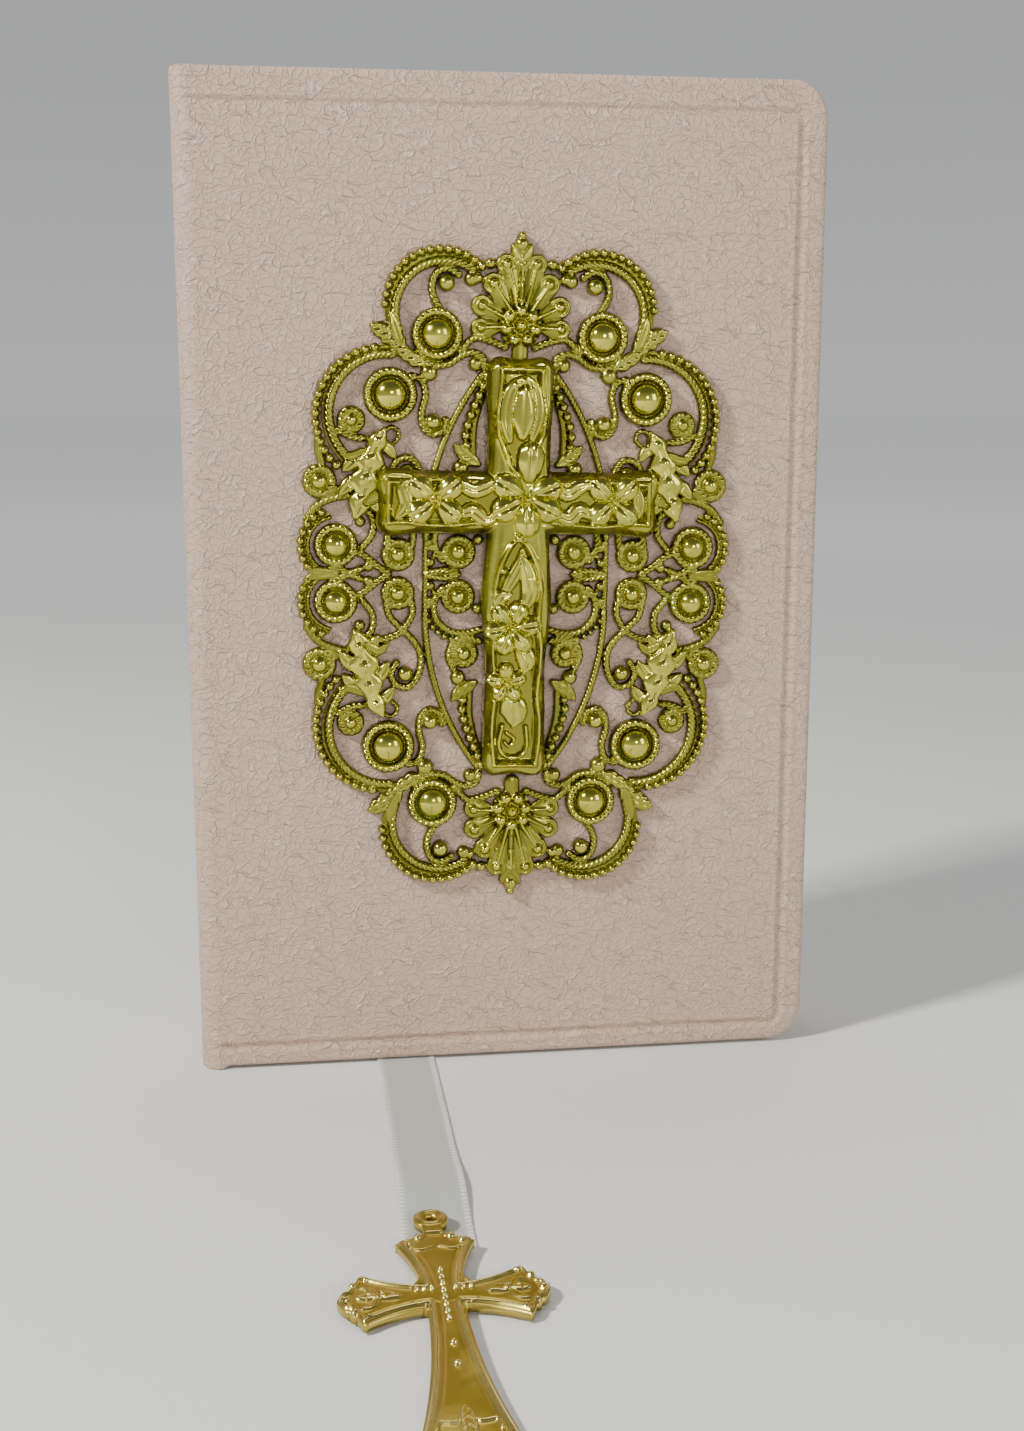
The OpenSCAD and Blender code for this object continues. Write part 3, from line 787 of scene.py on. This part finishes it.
def filigree():
    """The oval filigree, one quarter copied four ways."""
    stamp = Stamp((0, 0), (37, 55), 0.17, 0.32)
    rope = 0.85
    for x, z, ring, size in BOSSES:
        stamp.boss(x, z, ring, size, 0.9 + 0.62 * size)
    for x, z, size in BEADS:
        stamp.bead(x, z, size, 0.75 + 0.55 * size)
    for line in SCROLLS:
        stamp.strand(line, 1.25, 1.35, rope)
    stamp.arc((20.8, 25.2), 9.3, -66, 94, 1.5, 1.4, rope)
    stamp.arc((20.6, 25.3), 10, -62, 92, 1.3, 0.5)
    stamp.bead_arc((21.5, 24.8), 10.7, -46, 82, 1.46, 0.78, 1.55)
    stamp.arc((11.9, 41), 7.9, -22, 122, 1.45, 1.4, rope)
    stamp.arc((12, 41.2), 8.7, -14, 128, 1.4, 0.5)
    stamp.bead_arc((12.5, 41.8), 8.9, 2, 134, 1.42, 0.7, 1.5, 0.8)
    stamp.arc((29, 4.5), 5, -64, 72, 1.2, 0.5)
    stamp.arc((29, 4.5), 4.5, -64, 78, 0.7, 1.1, rope)
    stamp.bead_arc((29, 4.5), 5.6, -52, 66, 1.38, 0.72, 1.45)
    stamp.strand([(31.2, 17.4), (31.8, 19.2), (31.9, 21)], 1.2, 0.9)
    stamp.strand([(27.2, 12.4), (29.6, 11.9), (32, 10.7), (33.6, 8.6)], 1.3, 1.1, rope)
    stamp.strand([(29.2, 13.4), (30.2, 12.4)], 1.6, 0.9)
    stamp.leaf([(28.9, 0), (31.2, 0.2), (33.6, 0.6)], 1.9, 1.1)
    stamp.strand([(29.4, 2.2), (29.4, 0)], 1.5, 1)
    stamp.bead_row([(13.2, 3), (14.5, 6.4), (12.4, 9.6), (9.2, 11)], 1.2, 0.55, 1.2)
    stamp.strand([(14.7, 0), (14.7, 3.5), (14.6, 7)], 0.95, 1.1, 0.7)
    stamp.arc((-27.3, 6), 42, 0, 37.5, 1.1, 1.2, 0.7)
    stamp.bead_row([(8, 18.8), (8.5, 22), (7.6, 25.5), (6.4, 28.4), (5.2, 31.4)], 1.6, 0.85, 1.6)
    stamp.strand([(7.2, 18.6), (7.2, 23), (6.3, 27), (4.9, 31)], 1.1, 0.8)
    stamp.leaf([(6.4, 17.6), (8.6, 19), (10.2, 20.6)], 2.4, 1.1, veins=True)
    stamp.leaf([(24, 18.6), (26, 18), (27.9, 16.3)], 2.5, 1.6)
    stamp.leaf([(24.4, 15), (26.7, 14.4), (28.4, 12.5)], 2.5, 1.6)
    stamp.leaf([(23.3, 17.6), (21.7, 16.2), (20.6, 14.2)], 2.3, 1.6)
    stamp.leaf([(22.7, 20.8), (20.9, 20), (19.7, 18.3)], 2.1, 1.6)
    stamp.leaf([(24.9, 12.2), (23.2, 11.4), (22.2, 9.8)], 2, 1.6)
    stamp.leaf([(25.9, 9.2), (24.9, 12.4), (24.1, 16.2), (23.1, 19.6), (21.4, 23)], 5.2, 2.2, 4, 0.42)
    stamp.beads([(25.3, 11.7, 1.3), (24.4, 14.9, 1.7), (23.7, 18.1, 1.5), (22.5, 21, 1.1)], 2.5)
    stamp.leaf([(24.6, 19.6), (26.4, 18.6), (28.2, 18.9)], 1.6, 1.1)
    stamp.arc((20.2, 22), 1.25, -20, 250, 0.75, 1.3, rope)
    stamp.leaf([(24.4, 11.2), (22.2, 12.4), (20.6, 11.2)], 1.8, 1.2)
    stamp.leaf([(18.4, 35.4), (20.6, 37.4), (23.6, 38.9)], 3.6, 1.35, 3, 0.25, veins=True)
    stamp.leaf([(19, 36), (19.9, 38.6), (20.4, 40.8)], 1.9, 1.2)
    stamp.leaf([(15.4, 33), (17.4, 34.2), (19.4, 35.4)], 2.7, 1.45, 2, 0.2, veins=True)
    palmette(stamp)
    stamp.four_ways()
    return stamp.mesh("oval_filigree_relief", on_front_cover(0.3))


def flower(stamp, x, z, angles, length, width, height):
    for angle in angles:
        stamp.petal(x, z, angle, length, width, height)
    stamp.bead(x, z, 0.75, height + 0.35)


def cross():
    """The domed cross: rolled double rims round a field of flowers and leaves."""
    stamp = Stamp((-24, -35), (24, 36.5), 0.14, 0.5)
    X, Z = stamp.X, stamp.Z

    def rounded(across, half_across, end, half_length, radius):
        a, b = np.abs(across) - (half_across - radius), np.abs(end) - (half_length - radius)
        return inside_corner(a, b, radius)

    upright_w = (5.05 + 0.7 * hump(Z, -4, 6) - 0.2 * hump(Z, -16, 5)
                 + 0.5 * hump(Z, 31, 5) + 0.2 * hump(Z, -31, 4))
    upright = rounded(X, upright_w, Z - 0.7, 33.9 - 0.6 * hump(X, 0, 2.4), 2.4)
    arm_w = 4.95 + 0.45 * hump(np.abs(X), 20.5, 3)
    arms = rounded(Z - 11.6, arm_w, X, 22.9 - 0.6 * hump(Z, 11.6, 2.4), 2.4)
    inset = np.maximum(upright, arms)
    wave = inset + 0.15 * np.sin(Z * 0.55) + 0.15 * np.sin(X * 0.6)

    def panel(across, run, start, end, half_width, opening):
        """A sunk panel along one limb: pointed at its start and square at its end."""
        share = np.clip((run - start) / opening, 0, 1)
        half = half_width * np.sqrt(share) + 0.25 * np.cos(run * 0.5)
        return np.minimum(half - np.abs(across), np.minimum(run - start, end - run))

    panels = np.maximum.reduce([
        panel(X, Z, 16.4, 32, 3, 6), panel(X, -Z, -5.6, 30.4, 3.2, 8),
        panel(Z - 11.6, X, 2.6, 20.4, 2.9, 3), panel(Z - 11.6, -X, 2.6, 20.4, 2.9, 3),
    ])

    body = stamp.edge + 2.0 * np.sqrt(np.clip(wave / 2.4, 0, 1)) - 0.75 * smooth_step(panels, -0.2, 0.35)
    stamp.add(inset, body + 0.45 * hump(wave, 1, 0.5) + 0.8 * hump(panels, -0.5, 0.36))
    stamp.floor = 1.75
    for points, width, height in (
        ([(-9.6, 9.6), (-7.6, 10.4), (-5.4, 9), (-3.4, 9.6)], 1.8, 3.05),
        ([(-9.8, 14.8), (-7.4, 13.6), (-5.2, 14.2), (-3.4, 15.2)], 1.8, 3.05),
        ([(-19.4, 9.2), (-18, 11.2), (-18.6, 14), (-17.2, 15)], 1.6, 2.95),
        ([(5.4, 14.6), (7.6, 13.2), (9.6, 14.2), (11.8, 14.8)], 1.8, 3.05),
        ([(5.6, 10.2), (8, 9.2), (9.8, 10.6), (12.2, 9.2)], 1.9, 3.1),
        ([(18.6, 9), (19.4, 11.4), (18.8, 14.6)], 1.5, 2.9),
        ([(-1.8, 21.4), (-2.4, 25), (-1.6, 29.2), (0.8, 31.4)], 1.7, 3.1),
        ([(1.8, 21.8), (2.6, 25.2), (2.2, 29), (0.8, 31.4)], 1.7, 3.1),
        ([(0.2, 22.2), (0.4, 25.6), (0.5, 29.6)], 2.5, 3.55),
        ([(-2.6, -3.2), (-1.2, -1), (0.4, 2.2), (0.6, 4.4)], 1.5, 3),
        ([(0.6, -5.6), (1.9, -3), (1.6, 0.4), (0.6, 3.2)], 2, 3.2),
        ([(-3.2, -5.2), (-2.8, -3.4), (-1, -3)], 1.7, 3.1),
        ([(0.2, -11.6), (1.6, -13.4), (1.2, -15.6)], 2.2, 3.15),
        ([(-1.2, -19.4), (-0.2, -22.2), (-0.4, -24.4)], 3, 3.1),
    ):
        stamp.leaf(points, width * 1.5, height)
    tendril = [(-2.2, -24.4), (-2.7, -27.6), (-1.6, -29.4), (0.8, -29.4), (1.9, -27.8), (1.7, -24.6)]
    stamp.strand(tendril, 0.8, 3)
    stamp.strand([(-1.4, -25.6), (-0.2, -26.6), (-1, -27.8), (-1.8, -27)], 0.7, 2.95, taper=0.3)
    stamp.beads([(x, z, 0.75) for x, z in ((-1, 30), (0.4, 30.6), (1.6, 29.4), (-0.2, 28.6),
                                           (2.1, -0.6), (-2.4, 0.8), (-1.9, -6))], 3.3)
    flower(stamp, -1.6, -17.4, (20, 92, 164, 236, 308), 3.2, 2.6, 3.5)
    flower(stamp, -0.9, -8.4, (8, 68, 128, 188, 248, 308), 4.4, 3.5, 4)
    flower(stamp, 15.2, 12, (44, 138, 222, 316), 4.7, 3.9, 3.9)
    flower(stamp, -13.4, 12, (40, 142, 216, 322), 4.9, 4, 3.9)
    stamp.petal(1.3, 14.2, 86, 6.8, 4.6, 4.1)
    flower(stamp, 1.1, 12.3, (150, 24, 206, 334, 272), 5.8, 4.4, 4.3)
    return stamp.mesh("domed_cross_relief", on_front_cover(1.2))


# ---- charm

CHARM_X, CHARM_Y, CHARM_FOOT, CHARM_LIFT = -18.8, -86.1, 33.3, 0.8
CHARM_RING_Y = 19.6


def charm():
    """The flat cross charm: flared arms with cusped ends, a raised rim, leaves and dotted beads."""
    stamp = Stamp((-15, -35), (15, 23.5), 0.13, 1.05)
    X, Z = stamp.X, stamp.Z

    def arm(run, across, length, root, flare, point):
        body = length - point
        t = np.clip(run / body, 0, 1)
        width = root + (flare - root) * t ** 2.2
        past = np.clip((run - body) / point, 0, 1)
        cusp = flare * (1 - past) ** 0.75 * (1 + 0.16 * np.sin(past * math.pi * 3))
        half = np.where(run > body, cusp, width)
        return np.minimum((half - np.abs(across)) * 0.86, np.minimum(length - run, run + root))

    arms = [
        arm(X, Z, 13.3, 2.45, 5.4, 3.6), arm(-X, Z, 13.3, 2.45, 5.4, 3.6),
        arm(Z, X, 16, 2.5, 5, 3.4), arm(-Z, X, 33.3, 2.3, 5.5, 4.2),
    ]
    inset = np.maximum.reduce(arms + [3.3 - np.hypot(X, Z)])
    ring = 2.3 - np.hypot(X, Z - CHARM_RING_Y)
    neck = np.minimum(1.3 - np.abs(X), np.minimum(Z - 12, CHARM_RING_Y - Z))
    rim = 0.34 * hump(inset, 0.62, 0.3) - 0.12 * hump(inset, 1.25, 0.25)
    bevel = 0.12 * smooth_step(inset, 0, 0.5)
    stamp.add(inset, 1.06 + bevel + rim)
    stamp.add(np.maximum(ring, neck), 1.12 + 0.3 * hump(ring, 0.65, 0.35))
    for k in range(8):
        stamp.bead(0, 5.5 - 1.6 * k, 0.42, 1.85)
    for side in (-1, 1):
        stamp.X = side * X
        for k in range(3):
            stamp.bead(1.5 + 0.95 * k, 1.2, 0.38, 1.85)
            stamp.bead(2.5 + 0.75 * k, -2.6 + 0.45 * k, 0.34, 1.5)
        stamp.beads([(11.2, 3, 0.55), (11.2, -3, 0.55), (12.4, 0, 0.6), (9.6, 4.3, 0.45),
                     (9.6, -4.3, 0.45), (2.2, 14.2, 0.62), (3.6, 12.8, 0.5), (3.4, -30.6, 0.5),
                     (1.9, -31.6, 0.5)], 1.75)
        stamp.leaf([(5.8, 0), (8, 0.5), (10.8, 0)], 2.2, 1.62, veins=True)
        for up in (1, -1):
            stamp.leaf([(8.2, up * 0.3), (9.3, up * 2), (10.4, up * 2.4)], 1.1, 1.55)
        stamp.strand([(0.4, 11.6), (2, 10.9), (3.4, 11.4)], 0.5, 1.5)
        stamp.strand([(3.9, 1.9), (2.9, 3.3), (2.6, 4.6)], 0.5, 1.45)
        stamp.strand([(0, -25.2), (1.4, -26.6), (3.2, -26.4), (3.6, -28)], 0.6, 1.55)
    for z in (-11, -15.4):
        stamp.bead(0, z, 0.5, 1.8)
    stamp.leaf([(0, -24), (0, -27.5), (0, -31)], 2, 1.6, veins=True)
    hole = np.hypot(X, Z - CHARM_RING_Y) - 0.9
    stamp.field = np.minimum(stamp.field, hole)
    tilt = math.atan(CHARM_LIFT / (CHARM_FOOT + 14))

    def place(rows):
        x, y, h = rows.T
        along = y + CHARM_FOOT
        out = along * math.cos(tilt) - h * math.sin(tilt)
        up = along * math.sin(tilt) + h * math.cos(tilt)
        return rows_of(CHARM_X + x, CHARM_Y - CHARM_FOOT + out, up)
    return stamp.mesh("cross_charm", place)


# ---- leatherette case

BORDER_X = 47.3  # the pressed border line's distance from the middle of the cover
EDGE_ROLLS = 9  # points round the turned-over edge of the case


def columns_across():
    """Distances round the case, from the middle of the spine to the fore-edge, and where its bend lies."""
    flat = BOOK_T / 2 - SHOULDER_R
    bend = flat + SHOULDER_R * math.pi / 2
    end = bend + (RIGHT_X - COVER_T / 2) - (LEFT_X + SHOULDER_R)
    groove = end - (RIGHT_X - COVER_T / 2 - BORDER_X)
    stops = np.concatenate([
        [0, 0.03], np.linspace(0.5, flat, 8)[:-1], np.linspace(flat, bend, 17)[:-1],
        np.linspace(bend, bend + 3, 11)[:-1], np.arange(bend + 3, groove - 1.4, 0.62),
        np.arange(groove - 1.3, groove + 1.5, 0.24), np.linspace(groove + 1.6, end, 4),
    ])
    return stops, flat, bend


def rows_up(low, high, radius):
    """Heights of the rows, closer together where the corners turn."""
    turn = radius * (1 - np.sin(np.linspace(0, math.pi / 2, 25)))
    bottom, top = low + turn[::-1], high - turn
    return np.concatenate([bottom, np.linspace(bottom[-1], top[0], 240)[1:-1], top])


def pressed_line(x, z):
    """Depth of the pressed border line, with the low lips beside it."""
    low, high, turn = 3.7 + FRONT_COVER_Z0 * 0.4, COVER_H - 5.3, 1.6
    b = np.maximum(z - (high - turn), (low + turn) - z)
    away = np.abs(inside_corner(x - (BORDER_X - turn), b, turn))
    fade = smooth_step(x, LEFT_X + 1.0, LEFT_X + 3.0)
    return (0.36 * (1 - smooth_step(away, 0.45, 0.75)) - 0.08 * hump(away, 1.1, 0.3)) * fade


def leather_swell(x, z, side):
    """The leatherette's slow unevenness at every point of a sheet."""
    def at(a, b):
        return (noise.noise((a * 0.16, b * 0.16, side * 3.1)) * 0.05
                + noise.noise((a * 0.55, b * 0.6, side)) * 0.035)
    return np.array([[at(a, b) for a, b in zip(*row)] for row in zip(x, z)])


def case_half(name, side, cover_z0):
    """One cover with its half of the spine: side is 1 for the front and -1 for the back."""
    around, flat, bend = columns_across()
    slab_r = COVER_T / 2
    corner = CORNER_R - slab_r
    rows = rows_up(cover_z0 + slab_r, COVER_H - slab_r, corner)

    # The outer face in plan: x, depth v behind the front, outward normal and half thickness.
    turn = np.clip((around - flat) / SHOULDER_R, 0, math.pi / 2)
    x = LEFT_X + SHOULDER_R - SHOULDER_R * np.cos(turn) + np.maximum(around - bend, 0)
    v = SHOULDER_R - SHOULDER_R * np.sin(turn) + np.maximum(flat - around, 0)
    normal = rows_of(-np.cos(turn), -np.sin(turn), 0)
    onto_cover = smooth_step(x, HINGE_X - 0.3, HINGE_X + 1.2)
    half_t = (SHEET_T + (COVER_T - SHEET_T) * onto_cover) / 2

    # Its grid of (x, v, z), squeezed towards the spine where the corners turn.
    z_low = cover_z0 * onto_cover + half_t
    z_high = COVER_H - half_t
    share = (rows - rows[0]) / (rows[-1] - rows[0])
    z = z_low + (z_high - z_low) * share[:, None]
    above = np.maximum(rows - (rows[-1] - corner), 0) + np.maximum((rows[0] + corner) - rows, 0)
    limit = RIGHT_X - slab_r - corner + np.sqrt(np.maximum(corner ** 2 - above ** 2, 0))
    squeeze_from = RIGHT_X - CORNER_R - 9
    squeeze = (limit - squeeze_from) / (x[-1] - squeeze_from)
    grid_x = np.minimum(x, squeeze_from) + np.maximum(x - squeeze_from, 0) * squeeze[:, None]
    sheet = rows_of(grid_x, v, z)
    swell = leather_swell(grid_x + around * 0.3, z, side) * smooth_step(around, 0, 3)
    rise = swell * smooth_step(np.minimum(z - z_low, z_high - z), 0, 2) - pressed_line(grid_x, z)
    uv = rows_of(side * around, z) / 10
    index = np.arange(z.size).reshape(z.shape)

    # The edge that turns over, from each point of the grid's rim.
    count, last = len(rows), len(x) - 1
    rim = [(0, i) for i in range(last + 1)] + [(j, last) for j in range(1, count)]
    rim += [(count - 1, i) for i in range(last - 1, -1, -1)]
    j, i = np.array(rim).T
    at_fore_edge = i == last
    upward = np.where(j > count / 2, 1, -1)
    swing = np.where(at_fore_edge, above[j] / corner, 1)
    out = rows_of(dome(swing), 0, swing * upward)
    steps = np.arange(1, EDGE_ROLLS + 1)[:, None]
    lift, reach = np.cos(math.pi * steps / EDGE_ROLLS), np.sin(math.pi * steps / EDGE_ROLLS)
    roll = normal[i][:, None] * np.sign(lift) * np.abs(lift) ** 0.8 + out[:, None] * np.abs(reach) ** 0.8
    radius = half_t[i][:, None]
    turned = (sheet[j, i] - normal[i] * radius)[:, None] + radius[:, None] * roll
    ends = rows_of(at_fore_edge, ~at_fore_edge * upward)
    turned_uv = uv[j, i][:, None] + ends[:, None] * 0.03 * steps
    rolled = z.size + np.arange(len(rim) * EDGE_ROLLS).reshape(-1, EDGE_ROLLS)
    rolled = np.column_stack([index[j, i], rolled])

    # The inner face, and the plain end at the middle of the spine.
    low, high = rolled[:last + 1, -1], rolled[-last - 1:, -1][::-1]
    fore_edge = rolled[last + 1:last + count - 1, -1]
    flat_from = int(np.argmax(x > HINGE_X + 1.6))
    faces = grid_quads(index) + grid_quads(rolled) + grid_quads(np.stack([low, high])[:, :flat_from + 1])
    faces.append(np.concatenate([low[flat_from:], fore_edge, high[flat_from:][::-1]]).tolist())
    faces.append(np.concatenate([index[:, 0], rolled[-1, 1:], rolled[0, :0:-1]]).tolist())
    outer = sheet + normal * rise[..., None]
    points = np.vstack([outer.reshape(-1, 3), turned.reshape(-1, 3)])
    points[:, 1] = (FRONT_Y if side > 0 else BACK_Y) + side * points[:, 1]
    piece = make_object(name, points, faces, np.vstack([uv.reshape(-1, 2), turned_uv.reshape(-1, 2)]))
    for polygon in piece.data.polygons:
        if len(polygon.vertices) > 8:
            polygon.use_smooth = False
    return piece


# ---- leaves

def leaf_block(name, node, fold):
    """A block of leaves in the place of a CAD node. fold is how deep its folded side is rounded."""
    low, high = box_mm(node)
    radius = 4.5
    x = np.concatenate([
        low[0] + fold * (1 - np.cos(np.linspace(0, math.pi / 2, 7)[:-1])) if fold else [],
        np.arange(low[0] + fold, BLEND_END_X + 2, 0.8),
        np.linspace(BLEND_END_X + 3, high[0] - radius - 1, 20),
        high[0] - radius + radius * np.sin(np.linspace(0, math.pi / 2, 13)),
    ])
    inward = np.maximum(0, low[0] + fold - x) / (fold or 1)
    middle = (low[1] + high[1]) / 2
    half = (high[1] - low[1]) / 2 * np.sqrt(np.maximum(0.001, 1 - inward ** 2))
    past = np.maximum(0, x - (high[0] - radius))
    cut = radius - np.sqrt(np.maximum(0, radius ** 2 - past ** 2))
    piece = flat_bar(name, x, middle - half, middle + half, low[2] + cut, high[2] - cut, 1)
    piece.data.polygons.foreach_set("material_index", [0, 1] * (2 * len(x) - 1))
    return piece


def make_leaves():
    blended = {"signature_1": "leaves_1", "signature_2": "leaves_2", "signature_3": "leaves_3",
               "front_flyleaf": "front_leaf", "back_flyleaf": "back_leaf"}
    names = [f"signature_{k}" for k in range(1, 7)] + ["front_flyleaf", "back_flyleaf"]
    for node in names:
        sewn = node.startswith("signature")
        piece = leaf_block(node + "_leaves", node, 0.95 if sewn else 0)
        paper_slot = "leaf_paper" if sewn else "endpaper"
        finish_piece(piece, paper_slot, node, looks=[paper_slot, "gilt_edge"])
        if node in blended:
            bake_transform(piece)
        else:
            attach(piece, "spine")


def endpaper_joint(name, side):
    """The strip of endpaper that crosses the hinge, from the leaves to the inside of the cover."""
    low, high = box_mm("front_pastedown" if side > 0 else "back_pastedown")
    y = high[1] + 0.025 if side > 0 else low[1] - 0.025
    x = np.linspace(HINGE_X + 0.05, low[0] + 0.8, 32)
    piece = finish_piece(flat_bar(name, x, y - 0.02, y + 0.02, LEAF_LOW[2], LEAF_HIGH[2], 2), "endpaper")
    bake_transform(piece)


def end_band(name, node, at_head):
    """A sewn end band: a core wound with coloured thread, and the tape that holds it."""
    low, high = box_mm(node)
    rings, sides, radius = 120, 14, 0.72
    share = np.linspace(0, 1, rings)[:, None]
    y = low[1] + (high[1] - low[1]) * share
    winding = 1 + 0.06 * np.cos(2 * math.pi * BAND_THREADS * (y - low[1]) / 10)
    r = radius * winding * np.sqrt(np.maximum(0.02, 1 - (2 * share - 1) ** 16))
    turn = np.arange(sides) / sides
    core_z = high[2] - 0.7 if at_head else low[2] + 0.7
    core = rows_of(HINGE_X + 0.4 + r * np.cos(2 * math.pi * turn), y,
                   core_z + r * np.sin(2 * math.pi * turn)).reshape(-1, 3)
    core_uv = rows_of(y / 10, turn / 4).reshape(-1, 2)
    x0, x1, z0, z1 = HINGE_X - 0.33, HINGE_X - 0.03, low[2] + (0 if at_head else 0.1), high[2]
    tape = [(x, end, z) for end in (low[1], high[1]) for x, z in ((x0, z0), (x0, z1), (x1, z1), (x1, z0))]
    tape_uv = np.array(tape)[:, 1:] / 10
    tape_faces = [[len(core) + corner for corner in face] for face in ring_faces(2, 4)]
    piece = make_object(name, np.vstack([core, tape]), ring_faces(rings, sides) + tape_faces,
                        np.vstack([core_uv, tape_uv]))
    finish_piece(piece, "band_cloth", node)
    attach(piece, "spine")


# ---- assembly

def make_ribbon_and_charm():
    centres = curve_through(RIBBON_ROUTE, 0.3)
    ribbon = finish_piece(ribbon_strip("satin_marker", centres), "satin_ribbon", "ribbon_marker")
    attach(ribbon, "leaves_3")
    pendant = finish_piece(charm(), "charm_gilt", "charm_cross")
    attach(pendant, "leaves_3")


def inner_ribbon():
    """The marker between the leaves, from the head of the spine down to the tail edge."""
    low, high = box_mm("ribbon_inside")
    y = (low[1] + high[1]) / 2
    top = np.array([low[0] + RIBBON_W / 2, y, LEAF_HIGH[2]])
    end = np.array([RIBBON_ROUTE[0][0], y, LEAF_LOW[2]])
    centres = np.linspace(top, end, 200)
    piece = finish_piece(ribbon_strip("satin_marker_inside", centres), "satin_ribbon", "ribbon_inside")
    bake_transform(piece)


def make_case():
    for name, side, z0, cover, spare in (
        ("front_case", 1, FRONT_COVER_Z0, "front_cover", ("front_cover_skin", "spine_skin")),
        ("back_case", -1, 0.0, "back_cover", ("back_cover_skin",)),
    ):
        piece = finish_piece(case_half(name, side, z0), "leatherette", *spare)
        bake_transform(piece)


def make_ornament():
    for maker, node in ((filigree, "oval_filigree"), (cross, "filigree_cross")):
        piece = finish_piece(maker(), "stamped_brass", node)
        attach(piece, "front_cover")


make_camera()
make_ribbon_and_charm()
make_floor()
make_lights()
dress_cad_nodes()
make_case()
make_leaves()
endpaper_joint("front_endpaper_joint", 1)
endpaper_joint("back_endpaper_joint", -1)
inner_ribbon()
end_band("head_band_sewn", "head_band", True)
end_band("tail_band_sewn", "tail_band", False)
make_ornament()
